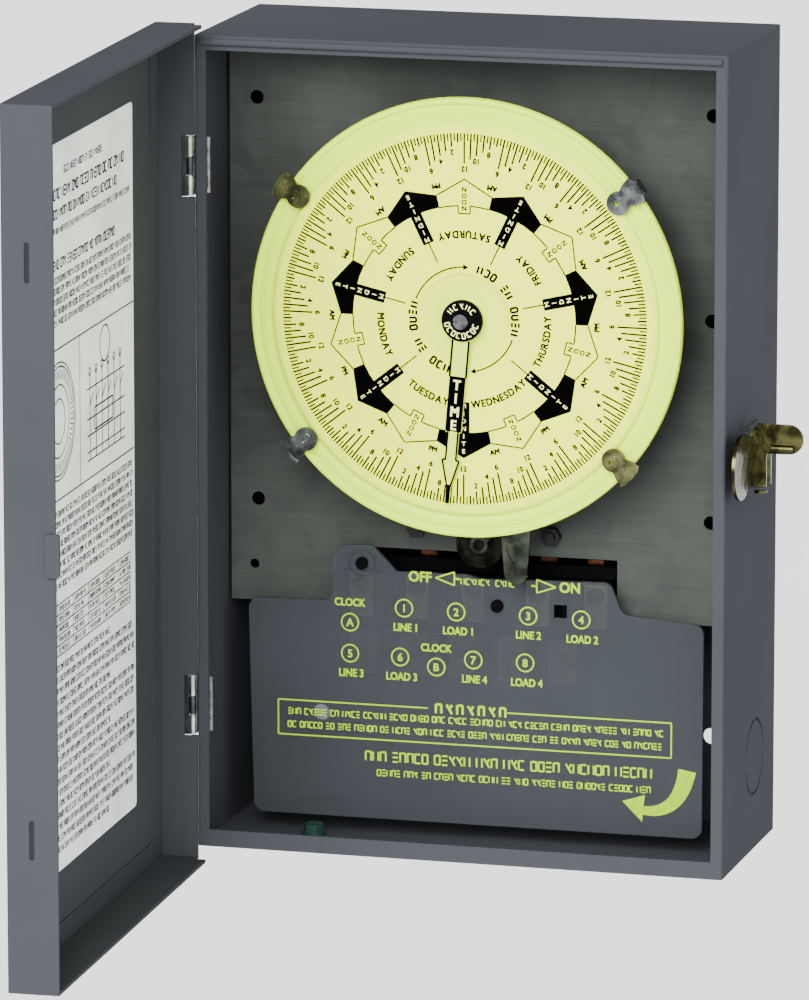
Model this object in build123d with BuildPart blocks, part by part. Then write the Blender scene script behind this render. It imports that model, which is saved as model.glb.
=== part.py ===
from build123d import *
import os
from math import cos, sin, radians, pi

# Wall-mounted enclosed time switch with a seven-day dial, door open.
# Axes: +X right, +Y into the wall, +Z up. The back of the case lies on y = 0. Millimetres.

# ---- driving dimensions ----
CASE_W, CASE_H, CASE_D = 200.0, 304.0, 84.0
SHEET = 1.5
LIP_SIDE, LIP_TOP, LIP_BOTTOM = 4.3, 5.4, 6.4
WALL_HOLE_X, WALL_HOLE_Z, WALL_HOLE_R = 76.0, 118.0, 3.2
UPPER_HOLE_X = 50.0
KNOCKOUT_R = 14.0

DOOR_OPEN = -88.0
HINGE_X, HINGE_Y = -101.2, -86.0
HINGE_Z = (104.0, -98.0)
KNUCKLE_R, PIN_R, PIN_CLEAR = 1.25, 0.6, 0.05
DOOR_T, DOOR_FRONT, DOOR_X0, DOOR_X1, DOOR_HALF_H = 1.2, -98.7, -101.0, 102.0, 156.7

HASP_X, HASP_Y = 107.0, -57.0

PLATE_FRONT, PLATE_T = -49.0, 1.2
PLATE_HALF_W, PLATE_TOP, PLATE_BOTTOM = 97.0, 146.0, -65.0
PLATE_BACK = PLATE_FRONT + PLATE_T
CASE_FLOOR_Y = -SHEET
PLATE_POSTS = ((-52, 6), (52, 6), (-10, 112), (50, 95))

DIAL_Z, DIAL_R = 50.0, 81.6
DIAL_STEP_R = 72.2
DIAL_FRONT, DIAL_RIM, DIAL_BACK = -76.0, -74.0, -72.5
ARBOR_R = 3.0

GEAR_M, DIAL_TEETH, DRIVE_TEETH = 0.8, 112, 16
TRAIN_M, DAY_TEETH, MOTOR_TEETH = 0.6, 72, 12
TRAIN_DIR = 135.0
DAY_R = GEAR_M * (DIAL_TEETH + DRIVE_TEETH) / 2
MOTOR_R = DAY_R + TRAIN_M * (DAY_TEETH + MOTOR_TEETH) / 2
DAY_X, DAY_Z = DAY_R * cos(radians(TRAIN_DIR)), DIAL_Z + DAY_R * sin(radians(TRAIN_DIR))
MOTOR_X, MOTOR_Z = MOTOR_R * cos(radians(TRAIN_DIR)), DIAL_Z + MOTOR_R * sin(radians(TRAIN_DIR))

LEVER_X, LEVER_Z = 18.0, -8.0
ROLLER_X, ROLLER_Z, ROLLER_R = 4.0, -35.0, 9.0

# rim clips: angle, inner end, eyelet radius, eyelet offset, outer end
TRIPPERS = {"ul": (145.6, 71.5, 77.2, 1.2, 85.3), "ur": (38.2, 69.4, 73.0, 0.2, 83.4),
            "ll": (218.3, 72.0, 77.0, 0.0, 85.5), "lr": (-41.0, 70.7, 75.0, -1.0, 84.4)}

INSULATOR_FRONT, INSULATOR_T = -58.0, 1.5
POST_1, POST_2, POST_R = (-43.8, -46.9), (8.0, -60.1), 2.3
TERMINALS_UP = (-45.6, -24.0, -2.8, 21.9, 44.1)
TERMINALS_LOW = (-46.0, -27.0, -8.0, 11.0, 30.0)


# ---- shape helpers ----
def block(x0, x1, y0, y1, z0, z1, mode=Mode.ADD):
    """Axis-aligned block between two corners, in the builder that is open."""
    with Locations(((x0 + x1) / 2, (y0 + y1) / 2, (z0 + z1) / 2)):
        Box(abs(x1 - x0), abs(y1 - y0), abs(z1 - z0), mode=mode)


def rod_y(x, z, r, y0, y1, mode=Mode.ADD):
    """Round rod along Y."""
    with Locations(Location((x, (y0 + y1) / 2, z), (90, 0, 0))):
        Cylinder(r, abs(y1 - y0), mode=mode)


def rod_x(y, z, r, x0, x1, mode=Mode.ADD):
    """Round rod along X."""
    with Locations(Location(((x0 + x1) / 2, y, z), (0, 90, 0))):
        Cylinder(r, abs(x1 - x0), mode=mode)


def rod_z(x, y, r, z0, z1, mode=Mode.ADD):
    """Round rod along Z."""
    with Locations((x, y, (z0 + z1) / 2)):
        Cylinder(r, abs(z1 - z0), mode=mode)


def front_plane(x, y, z, turn=0.0):
    """Sketch plane facing the viewer: local x turned from +X towards +Z, normal -Y."""
    a = radians(turn)
    return Plane(origin=(x, y, z), x_dir=(cos(a), 0, sin(a)), z_dir=(0, -1, 0))


def gear_points(teeth, module, first_tooth):
    """Straight-flanked tooth outline with backlash, first tooth centred at an angle."""
    pitch_r = module * teeth / 2
    root_r, tip_r = pitch_r - 1.25 * module, pitch_r + 0.95 * module
    step = 2 * pi / teeth
    points = []
    for i in range(teeth):
        a = radians(first_tooth) + i * step
        for r, k in ((root_r, -0.27), (tip_r, -0.11), (tip_r, 0.11), (root_r, 0.27)):
            points.append((r * cos(a + k * step), r * sin(a + k * step)))
    return points


def save(builder, label):
    builder.part.label = label
    export_step(builder.part, "parts/" + label + ".step")


def save_on_door(builder, label):
    """Door pieces are drawn shut and then swung open about the hinge line."""
    hinge = Axis((HINGE_X, HINGE_Y, 0), (0, 0, 1))
    swung = builder.part.rotate(hinge, DOOR_OPEN)
    swung.label = label
    export_step(swung, "parts/" + label + ".step")


# ---- case ----
def knockout_ring(x, y, z, direction):
    """Two shallow arcs that mark a wire entry, left joined by two ties."""
    plane = Plane(origin=(x, y, z), x_dir=(0, 1, 0) if direction[2] == 0 else (1, 0, 0), z_dir=direction)
    with BuildSketch(plane) as ring:
        Circle(KNOCKOUT_R + 0.6)
        Circle(KNOCKOUT_R - 0.6, mode=Mode.SUBTRACT)
        Rectangle(60, 5, mode=Mode.SUBTRACT)
    extrude(ring.sketch, amount=-0.8, mode=Mode.SUBTRACT)


def make_case_body():
    half_w, half_h = CASE_W / 2, CASE_H / 2
    with BuildPart() as body:
        with BuildSketch(Plane.XY.offset(-half_h)):
            with Locations((0, -CASE_D / 2)):
                RectangleRounded(CASE_W, CASE_D, 1.2)
        extrude(amount=CASE_H)
        block(-half_w + SHEET, half_w - SHEET, -CASE_D + SHEET, -SHEET,
              -half_h + SHEET, half_h - SHEET, Mode.SUBTRACT)
        block(-half_w + LIP_SIDE, half_w - LIP_SIDE, -CASE_D - 1, -CASE_D + SHEET + 1,
              -half_h + LIP_BOTTOM, half_h - LIP_TOP, Mode.SUBTRACT)
        # rounded drip bead along the top edge of the opening
        rod_x(-CASE_D - 0.2, half_h - 2.4, 1.3, -half_w + 2, half_w - 2)
        # hinge slots in the left wall
        for z in HINGE_Z:
            block(-half_w - 1, -half_w + SHEET + 1, -82.5, -81.3, z - 10.6, z + 10.6, Mode.SUBTRACT)
        # four screw holes to the wall, the upper pair closer together
        for x, z in ((WALL_HOLE_X, -WALL_HOLE_Z), (UPPER_HOLE_X, WALL_HOLE_Z)):
            rod_y(x, z, WALL_HOLE_R, -2 * SHEET, SHEET, Mode.SUBTRACT)
            rod_y(-x, z, WALL_HOLE_R, -2 * SHEET, SHEET, Mode.SUBTRACT)
        # wire entries
        knockout_ring(half_w, -33, -117, (1, 0, 0))
        knockout_ring(-half_w, -33, -117, (-1, 0, 0))
        knockout_ring(-55, -40, -half_h, (0, 0, -1))
        knockout_ring(0, -40, -half_h, (0, 0, -1))
        knockout_ring(55, -40, -half_h, (0, 0, -1))
        # small press marks on the right wall
        for y, z in ((-56.5, 115.0), (-54.7, -25.0), (-79.5, 7.6)):
            with Locations((half_w + 0.9, y, z)):
                Sphere(1.3, mode=Mode.SUBTRACT)
    save(body, "case_body")


def make_ground_screw():
    with BuildPart() as screw:
        rod_z(-61.5, -62, 4.6, -150.5, -149.3)
        with BuildSketch(Plane.XY.offset(-149.3)):
            with Locations((-61.5, -62)):
                RegularPolygon(3.9, 6)
        extrude(amount=3.2)
        block(-66.0, -57.0, -62.5, -61.5, -147.0, -145.5, Mode.SUBTRACT)
    save(screw, "ground_screw")


# ---- hinges ----
def make_hinges():
    with BuildPart() as leaves:
        for z in HINGE_Z:
            for z0, z1 in ((z - 11.0, z - 3.6), (z + 3.6, z + 11.0)):
                rod_z(HINGE_X, HINGE_Y, KNUCKLE_R, z0, z1)
                block(-101.9, -100.9, -86.2, -84.0, z0, z1)
                rod_z(HINGE_X, HINGE_Y, PIN_R + PIN_CLEAR, z0 - 1, z1 + 1, Mode.SUBTRACT)
            block(-101.9, -CASE_W / 2, -84.5, -81.4, z - 11.0, z + 11.0)
            block(-CASE_W / 2 - 1, -94.6, -82.5, -81.4, z - 10.3, z + 10.3)
    save(leaves, "hinge_case_leaves")

    with BuildPart() as pins:
        for z in HINGE_Z:
            rod_z(HINGE_X, HINGE_Y, PIN_R, z - 11.0, z + 11.0)
            rod_z(HINGE_X, HINGE_Y, 1.0, z + 11.0, z + 11.3)
    save(pins, "hinge_pins")

    with BuildPart() as door_leaves:
        for z in HINGE_Z:
            rod_z(HINGE_X, HINGE_Y, KNUCKLE_R, z - 3.3, z + 3.3)
            block(-101.9, -101.0, -88.0, -86.0, z - 3.3, z + 3.3)
            rod_z(HINGE_X, HINGE_Y, PIN_R + PIN_CLEAR, z - 4, z + 4, Mode.SUBTRACT)
            block(-101.9, -101.0, -94.0, -87.35, z - 11.3, z + 11.3)
    save_on_door(door_leaves, "hinge_door_leaves")


# ---- door ----
def make_door():
    h = DOOR_HALF_H
    inner = DOOR_FRONT + DOOR_T
    with BuildPart() as pan:
        with BuildSketch(Plane.XY.offset(-h)):
            with BuildLine():
                Polyline((DOOR_X0, -84.1), (DOOR_X0, DOOR_FRONT), (DOOR_X1, DOOR_FRONT), (DOOR_X1, -80.0),
                         (DOOR_X0 + 4.5, -80.0), (DOOR_X0 + 4.5, -84.1), close=True)
            make_face()
        extrude(amount=2 * h)
        outer_edges = pan.edges().filter_by(Axis.Z).group_by(Axis.Y)[0]
        fillet(outer_edges, 1.0)
        block(DOOR_X0 + DOOR_T, DOOR_X1 - DOOR_T, inner, -70, -h + DOOR_T, h - DOOR_T, Mode.SUBTRACT)
        # raised frame line pressed into the panel, seen from inside
        with BuildSketch(front_plane(0.5, inner, 0)):
            RectangleRounded(178.5, 297.0, 6)
            RectangleRounded(175.5, 294.0, 4.5, mode=Mode.SUBTRACT)
        extrude(amount=-0.6)
        # folded hem along the hinge side and clearance for the hinges
        block(DOOR_X0 - 0.9, DOOR_X0, -86.4, -84.1, -h + 0.2, h - 0.2)
        for z in HINGE_Z:
            block(DOOR_X0 - 2, DOOR_X0 + DOOR_T + 1, -88.9, -80, z - 11.5, z + 11.5, Mode.SUBTRACT)
        # two lanced slots in the free flange
        for z in (102.0, -101.5):
            with BuildSketch(Plane(origin=(DOOR_X1, -89.4, z), x_dir=(0, 1, 0), z_dir=(1, 0, 0))) as slot:
                SlotOverall(14.4, 1.9, rotation=90)
            extrude(slot.sketch, amount=-3, mode=Mode.SUBTRACT)
    save_on_door(pan, "door_pan")

    with BuildPart() as tab:
        block(DOOR_X1, DOOR_X1 + 1.3, -83.2, -78.2, -7.7, 7.7)
        fillet(tab.edges().filter_by(Axis.X).group_by(Axis.Y)[-1], 1.6)
    save_on_door(tab, "door_catch_tab")

    with BuildPart() as label:
        with BuildSketch(front_plane(1.5, inner, 2.5)):
            RectangleRounded(130, 261, 2)
        extrude(amount=-0.2)
    save_on_door(label, "door_label")


# ---- hasp ----
def make_hasp():
    wall = CASE_W / 2
    with BuildPart() as bracket:
        block(wall, wall + 1.2, -64, -36, -10.6, 10.6)
        for z0, z1 in ((-10.6, -9.2), (9.2, 10.6)):
            with BuildSketch(Plane.XY.offset(z0)):
                with Locations((wall + 3.5, HASP_Y)):
                    Rectangle(7, 7.2)
                with Locations((HASP_X, HASP_Y)):
                    Circle(3.6)
            extrude(amount=z1 - z0)
        rod_z(HASP_X, HASP_Y, 1.55, -12, 12, Mode.SUBTRACT)
        for z in (-5.5, 5.5):
            rod_x(-41, z, 1.6, wall - 1, wall + 3, Mode.SUBTRACT)
    save(bracket, "hasp_bracket")

    with BuildPart() as rivets:
        for z in (-5.5, 5.5):
            rod_x(-41, z, 1.55, wall, wall + 1.2)
            rod_x(-41, z, 2.8, wall + 1.2, wall + 2.2)
    save(rivets, "hasp_rivets")

    with BuildPart() as pin:
        rod_z(HASP_X, HASP_Y, 1.5, -11.2, 11.2)
        rod_z(HASP_X, HASP_Y, 2.4, 11.2, 12.2)
        rod_z(HASP_X, HASP_Y, 2.4, -12.2, -11.2)
    save(pin, "hasp_pin")

    with BuildPart() as lever:
        # nose plate with a rounded front edge
        with BuildSketch(Plane(origin=(104.3, 0, 0), x_dir=(0, 1, 0), z_dir=(1, 0, 0))):
            with Locations((-70, 1.2)):
                Rectangle(18, 18)
            with Locations((-78.5, 1.2)):
                Ellipse(13.2, 12.2)
        extrude(amount=1.2)
        # web that carries the knuckle and the thumb paddle
        with BuildSketch(front_plane(0, -61.0, 0)):
            with Locations((107.3, 1.5)):
                Rectangle(6, 21)
            with Locations((112.5, 8.9)):
                Rectangle(12, 11.0)
            with Locations((118.5, 8.9)):
                Circle(5.5)
        extrude(amount=1.2)
        rod_z(HASP_X, HASP_Y, 4.0, -8.8, 4.6)
        block(104.3, 109.6, -61.2, HASP_Y, -8.8, 4.6)
        rod_z(HASP_X, HASP_Y, 1.55, -10, 10, Mode.SUBTRACT)
        rod_x(-62.6, 5.4, 1.7, 112.5, 120.5)
    save(lever, "hasp_lever")

    with BuildPart() as spring:
        with BuildLine() as coil:
            Helix(pitch=1.1, height=3.3, radius=2.5, center=(HASP_X, HASP_Y, 5.3))
        with BuildSketch(Plane(origin=coil.line @ 0, z_dir=coil.line % 0)):
            Circle(0.38)
        sweep()
    save(spring, "hasp_spring")


# ---- mechanism plate ----
def make_plate():
    with BuildPart() as plate:
        block(-PLATE_HALF_W, PLATE_HALF_W, PLATE_FRONT, PLATE_BACK, PLATE_BOTTOM, PLATE_TOP)
        block(-41.3, 51.3, PLATE_FRONT - 1, PLATE_BACK + 1, -70, -42.4, Mode.SUBTRACT)
        for x in (-86.5, 86.5):
            for z in (124.5, 48.7, -26.4):
                rod_y(x, z, 2.6, PLATE_FRONT - 1, PLATE_BACK + 1, Mode.SUBTRACT)
        rod_y(-88, -51.3, 1.8, PLATE_FRONT - 1, PLATE_BACK + 1, Mode.SUBTRACT)
        rod_y(LEVER_X, LEVER_Z, 3.1, PLATE_FRONT - 1, PLATE_BACK + 1, Mode.SUBTRACT)
        rod_y(MOTOR_X, MOTOR_Z, 5.0, PLATE_FRONT - 1, PLATE_BACK + 1, Mode.SUBTRACT)
        for x, z in PLATE_POSTS:
            rod_y(x, z, 2.05, PLATE_FRONT - 1, PLATE_BACK + 1, Mode.SUBTRACT)
    save(plate, "mechanism_plate")

    with BuildPart() as posts:
        for x, z in PLATE_POSTS:
            rod_y(x, z, 4.5, -SHEET, PLATE_BACK)
            rod_y(x, z, 2.05, PLATE_BACK - 1, PLATE_BACK + 9, Mode.SUBTRACT)
    save(posts, "plate_posts")

    with BuildPart() as screws:
        for x, z in PLATE_POSTS:
            rod_y(x, z, 2.0, PLATE_FRONT, PLATE_BACK + 8)
            rod_y(x, z, 3.8, PLATE_FRONT - 2.4, PLATE_FRONT)
            block(x - 4, x + 4, PLATE_FRONT - 3, PLATE_FRONT - 1.4, z - 0.5, z + 0.5, Mode.SUBTRACT)
    save(screws, "plate_screws")

    with BuildPart() as covers:
        for x, z in ((-25.0, -34.0), (26.5, -34.5)):
            with BuildSketch(front_plane(x, PLATE_FRONT, z)):
                RegularPolygon(3.8, 6)
            extrude(amount=3.2)
            rod_y(x, z, 1.9, PLATE_FRONT - 4.6, PLATE_FRONT - 3.2)
    save(covers, "switch_screws")


# ---- switch and terminals ----
def make_switch():
    with BuildPart() as base:
        block(-56, 56, -46, -12, -94, -65.3)
        block(-38.5, 50, -46, -12, -65.4, -46)
        block(-39.2, 50, -51.8, -45.5, -69, -50.5)
        block(-52, -38.6, -51.8, -49, -64.9, -50.5)
        block(-52, -38.6, -51.8, -45.5, -69, -65.2)
        for x in (-34.8, -13.4, 9.5, 33.0):
            if x > 0 and x < 10:
                continue
            block(x - 1.2, x + 1.2, -54.6, -51.5, -69, -50.5)
        for x in (-36.5, -17.5, 1.5, 20.5):
            block(x - 1, x + 1, -49.5, -45.5, -92, -73)
    save(base, "terminal_block")

    with BuildPart() as upper:
        for x in TERMINALS_UP:
            block(x - 4.3, x + 4.3, -52.9, -51.8, -68, -51.5)
            rod_y(x, -55.6, 1.6, -53.5, -51.5, Mode.SUBTRACT)
    save(upper, "terminal_plates_upper")

    with BuildPart() as lower:
        for x in TERMINALS_LOW:
            block(x - 5.5, x + 5.5, -47.1, -46.0, -91, -74)
            rod_y(x, -82, 1.6, -47.5, -45.5, Mode.SUBTRACT)
    save(lower, "terminal_plates_lower")

    with BuildPart() as heads:
        spots = [(x, -55.6, -52.9) for x in TERMINALS_UP] + [(x, -82, -47.1) for x in TERMINALS_LOW]
        for x, z, y in spots:
            rod_y(x, z, 3.3, y - 2.2, y)
            rod_y(x, z, 1.55, y, y + 1.1)
            block(x - 4, x + 4, y - 3, y - 1.3, z - 0.5, z + 0.5, Mode.SUBTRACT)
    save(heads, "terminal_screws")

    with BuildPart() as fixed:
        for y in (-37, -21):
            for x in (-23, -5, 23, 41):
                block(x - 3, x + 3, y - 3, y + 3, -46.0, -44.6)
                rod_z(x, y, 2.2, -44.6, -43.0)
    save(fixed, "fixed_contacts")

    with BuildPart() as moving:
        for y in (-37, -21):
            for x in (-14, 32):
                block(x - 12, x + 12, y - 3, y + 3, -41.0, -39.8)
                for dx in (-9, 9):
                    rod_z(x + dx, y, 2.2, -42.6, -41.0)
    save(moving, "moving_contacts")

    with BuildPart() as carrier:
        for y in (-37, -21):
            for x in (-14, 32):
                rod_z(x, y, 2.5, -39.8, -34)
        block(-30, 48, -41, -17, -34, -28)
        block(2, 16, -41.0, -17, -28, -24)
    save(carrier, "contact_carrier")


# ---- clock motor and gear train ----
def make_train():
    with BuildPart() as can:
        rod_y(MOTOR_X, MOTOR_Z, 22, PLATE_BACK, PLATE_BACK + 16)
        rod_y(MOTOR_X, MOTOR_Z, 4.6, PLATE_BACK - 3, PLATE_BACK)
        rod_y(MOTOR_X, MOTOR_Z, 1.55, PLATE_BACK - 5, PLATE_BACK + 12, Mode.SUBTRACT)
    save(can, "motor_can")

    with BuildPart() as coil:
        rod_y(MOTOR_X, MOTOR_Z, 20, PLATE_BACK + 16, PLATE_BACK + 31)
        block(MOTOR_X - 8, MOTOR_X + 8, PLATE_BACK + 18, PLATE_BACK + 30, MOTOR_Z - 30, MOTOR_Z - 17)
    save(coil, "motor_coil")

    with BuildPart() as pinion:
        with BuildSketch(front_plane(MOTOR_X, -60.5, MOTOR_Z)):
            Polygon(*gear_points(MOTOR_TEETH, TRAIN_M, TRAIN_DIR + 180 + 180 / MOTOR_TEETH), align=None)
        extrude(amount=3.0)
        rod_y(MOTOR_X, MOTOR_Z, 1.5, PLATE_BACK + 10, -60.6)
    save(pinion, "motor_pinion")

    with BuildPart() as wheel:
        with BuildSketch(front_plane(DAY_X, -61.0, DAY_Z)):
            Polygon(*gear_points(DAY_TEETH, TRAIN_M, TRAIN_DIR), align=None)
        extrude(amount=2.0)
        with BuildSketch(front_plane(DAY_X, -63.0, DAY_Z)):
            Polygon(*gear_points(DRIVE_TEETH, GEAR_M, TRAIN_DIR + 180 + 180 / DRIVE_TEETH), align=None)
        extrude(amount=6.0)
        rod_y(DAY_X, DAY_Z, 4.0, -61.1, -59.5)
        rod_y(DAY_X, DAY_Z, 2.05, -70, -59, Mode.SUBTRACT)
    save(wheel, "day_wheel")

    with BuildPart() as spindle:
        rod_y(DAY_X, DAY_Z, 2.0, -69.6, PLATE_FRONT)
        rod_y(DAY_X, DAY_Z, 4.5, -59.2, PLATE_FRONT)
    save(spindle, "day_wheel_spindle")

    with BuildPart() as gear:
        with BuildSketch(front_plane(0, -66.0, DIAL_Z)):
            Polygon(*gear_points(DIAL_TEETH, GEAR_M, TRAIN_DIR), align=None)
            with PolarLocations(27, 5):
                Circle(8, mode=Mode.SUBTRACT)
        extrude(amount=2.2)
        rod_y(0, DIAL_Z, 9, -68.1, DIAL_BACK)
        rod_y(0, DIAL_Z, ARBOR_R + 0.05, -75, -60, Mode.SUBTRACT)
    save(gear, "dial_gear")


# ---- dial, pointer and hub ----
def make_dial():
    with BuildPart() as dial:
        with BuildSketch(Plane.XY.offset(DIAL_Z)) as profile:
            with BuildLine():
                Polyline((DIAL_R, -73.3), (DIAL_R - 0.3, -74.4))
                ThreePointArc((DIAL_R - 0.3, -74.4), (80.3, -75.0), (79.2, -74.5))
                Polyline((79.2, -74.5), (78.7, -73.9), (78.2, -73.9), (77.7, -74.4))
                ThreePointArc((77.7, -74.4), (75.9, -74.6), (74.2, -74.1))
                Polyline((74.2, -74.1), (73.2, -74.1))
                ThreePointArc((73.2, -74.1), (72.7, -75.4), (DIAL_STEP_R - 0.8, DIAL_FRONT))
                Polyline((DIAL_STEP_R - 0.8, DIAL_FRONT), (17.2, DIAL_FRONT), (16.2, DIAL_FRONT + 0.6),
                         (0, DIAL_FRONT + 0.6), (0, DIAL_BACK), (DIAL_R - 0.4, DIAL_BACK),
                         (DIAL_R, DIAL_BACK - 0.4), (DIAL_R, -73.3))
            make_face()
        revolve(profile.sketch, axis=Axis((0, 0, DIAL_Z), (0, 1, 0)))
        rod_y(0, DIAL_Z, ARBOR_R + 0.05, -80, -70, Mode.SUBTRACT)
    save(dial, "dial")

    with BuildPart() as arbor:
        rod_y(0, DIAL_Z, ARBOR_R, -77.2, PLATE_FRONT)
        rod_y(0, DIAL_Z, 7.0, -65.4, PLATE_FRONT)
        rod_y(0, DIAL_Z, 1.5, -78, -68, Mode.SUBTRACT)
    save(arbor, "dial_arbor")

    with BuildPart() as pointer:
        with BuildSketch(front_plane(0, -77.2, DIAL_Z, 265.1)):
            Circle(7.2)
            half = [(0, 3.5), (21, 3.5), (21.6, 3.1), (41.6, 3.1), (42.2, 2.3), (51.8, 2.3), (52, 3.6),
                    (62.5, 0.9), (68.6, 0.8)]
            with BuildLine():
                Polyline(*half, *[(u, -v) for u, v in reversed(half)], close=True)
            make_face()
            Circle(1.55, mode=Mode.SUBTRACT)
        extrude(amount=0.8)
    save(pointer, "time_pointer")

    with BuildPart() as disc:
        rod_y(0, DIAL_Z, 7.7, -79.6, -78.0)
        rod_y(0, DIAL_Z, 1.55, -80, -77, Mode.SUBTRACT)
        front = disc.edges().filter_by(GeomType.CIRCLE).filter_by(lambda e: abs(e.radius - 7.7) < 0.01)
        fillet(front.group_by(Axis.Y)[0], 0.5)
    save(disc, "hub_disc")

    with BuildPart() as screw:
        rod_y(0, DIAL_Z, 2.8, -81.6, -79.6)
        rod_y(0, DIAL_Z, 1.45, -79.7, -69.5)
        block(-3, 3, -82.5, -80.8, DIAL_Z - 0.45, DIAL_Z + 0.45, Mode.SUBTRACT)
    save(screw, "hub_screw")


def make_tripper(name, angle, r_in, r_eye, eye_off, r_out):
    """Clip on the dial rim: pear-shaped body, flared wing outside the rim, jaw behind it."""
    back, front = DIAL_FRONT - 0.1, DIAL_FRONT - 1.1
    with BuildPart() as clip:
        with BuildSketch(front_plane(0, back, DIAL_Z, angle)):
            with Locations((r_in + 4.4, 0)):
                Circle(4.4)
            with BuildLine():
                Polyline((r_in + 4.4, -4.4), (r_out - 6.5, -3.4), (r_out - 4.0, -4.6), (r_out - 0.9, -5.2),
                         (r_out, -3.4), (r_out + 0.3, 0), (r_out, 3.4), (r_out - 0.9, 5.2),
                         (r_out - 4.0, 4.6), (r_out - 6.5, 3.4), (r_in + 4.4, 4.4), close=True)
            make_face()
        extrude(amount=back - front)
        # raised rim and dots of the wing
        with BuildSketch(front_plane(0, front, DIAL_Z, angle)):
            with BuildLine():
                Polyline((r_out - 0.9, -5.2), (r_out, -3.4), (r_out + 0.3, 0), (r_out, 3.4),
                         (r_out - 0.9, 5.2), (r_out - 1.7, 4.9), (r_out - 0.9, 3.2), (r_out - 0.6, 0),
                         (r_out - 0.9, -3.2), (r_out - 1.7, -4.9), close=True)
            make_face()
            for du, v in ((4.6, -2.4), (4.4, 0.2), (4.6, 2.8), (2.6, -1.2), (2.6, 1.6)):
                with Locations((r_out - du, v)):
                    Circle(0.5)
        extrude(amount=0.6)
        # foot on the rim, wall round it and jaw behind it
        with BuildSketch(front_plane(0, back, DIAL_Z, angle)):
            with Locations((76.6, 0)):
                Rectangle(3.2, 5.6)
        extrude(amount=-1.35)
        with BuildSketch(front_plane(0, back, DIAL_Z, angle)):
            with Locations((82.8, 0)):
                Rectangle(2.2, 6)
            Circle(DIAL_R + 0.3, mode=Mode.SUBTRACT)
        extrude(amount=-4.9)
        with BuildSketch(front_plane(0, DIAL_BACK + 0.3, DIAL_Z, angle)):
            with Locations((80.9, 0)):
                Rectangle(6.0, 6)
        extrude(amount=-0.9)
        with BuildSketch(front_plane(0, DIAL_RIM - 4, DIAL_Z, angle)):
            with Locations((r_eye, eye_off)):
                Circle(1.65)
        extrude(amount=-2.0, mode=Mode.SUBTRACT)
    save(clip, "tripper_" + name)

    with BuildPart() as eyelet:
        with BuildSketch(front_plane(0, back, DIAL_Z, angle)):
            with Locations((r_eye, eye_off)):
                Circle(1.6)
                Circle(0.9, mode=Mode.SUBTRACT)
        extrude(amount=back - front + 0.2)
        with BuildSketch(front_plane(0, front, DIAL_Z, angle)):
            with Locations((r_eye, eye_off)):
                Circle(2.5)
                Circle(1.0, mode=Mode.SUBTRACT)
        extrude(amount=0.7)
    save(eyelet, "tripper_screw_" + name)


# ---- manual lever ----
def make_lever():
    with BuildPart() as lever:
        with BuildSketch(front_plane(LEVER_X, -68.2, LEVER_Z)):
            Circle(8)
            with BuildLine():
                Polyline((-5.6, 0), (-5.4, -24), (-4.4, -36.6), (4.4, -36.6), (5.4, -24), (5.6, 0), close=True)
            make_face()
            with Locations((0, -36.6)):
                Circle(4.4)
            with BuildLine():
                Polyline((-4, 4), (-16.8, -24.5), (-13.5, -27.5), (-10.5, -25.5), (0, -14), close=True)
            make_face()
            with Locations((ROLLER_X - LEVER_X, ROLLER_Z - LEVER_Z)):
                Circle(3.4)
                Circle(2.05, mode=Mode.SUBTRACT)
            Circle(3.05, mode=Mode.SUBTRACT)
        extrude(amount=1.4)
        # pressed finger rib near the tip, open at the top right
        with BuildSketch(front_plane(LEVER_X, -69.6, LEVER_Z)):
            with BuildLine():
                Polyline((1.6, -24.6), (-3.6, -26.2), (-2.8, -29.4), (0.2, -35.6), (2.8, -32.8), (3.5, -33.4),
                         (0.4, -37.2), (-3.6, -30.0), (-4.6, -25.8), (1.4, -23.8), close=True)
            make_face()
        extrude(amount=0.5)
    save(lever, "manual_lever")

    with BuildPart() as roller:
        rod_y(ROLLER_X, ROLLER_Z, ROLLER_R, -68.2, -62.2)
        with BuildSketch(front_plane(ROLLER_X, -68.2, ROLLER_Z)) as face:
            Circle(7.8)
            Circle(4.6, mode=Mode.SUBTRACT)
        extrude(face.sketch, amount=-0.7, mode=Mode.SUBTRACT)
        rod_y(ROLLER_X, ROLLER_Z, 5.4, -62.2, -60.5)
        rod_y(ROLLER_X, ROLLER_Z, 2.0, -70.4, -62.2)
    save(roller, "trip_roller")

    with BuildPart() as arbor:
        rod_y(LEVER_X, LEVER_Z, 3.0, -70.6, -28)
        rod_y(LEVER_X, LEVER_Z, 6.0, -68.2, -50.0)
        rod_y(LEVER_X, LEVER_Z, 7.5, -46.0, -42.5)
        rod_y(LEVER_X, LEVER_Z, 4.6, -71.4, -70.6)
    save(arbor, "lever_arbor")


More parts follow.
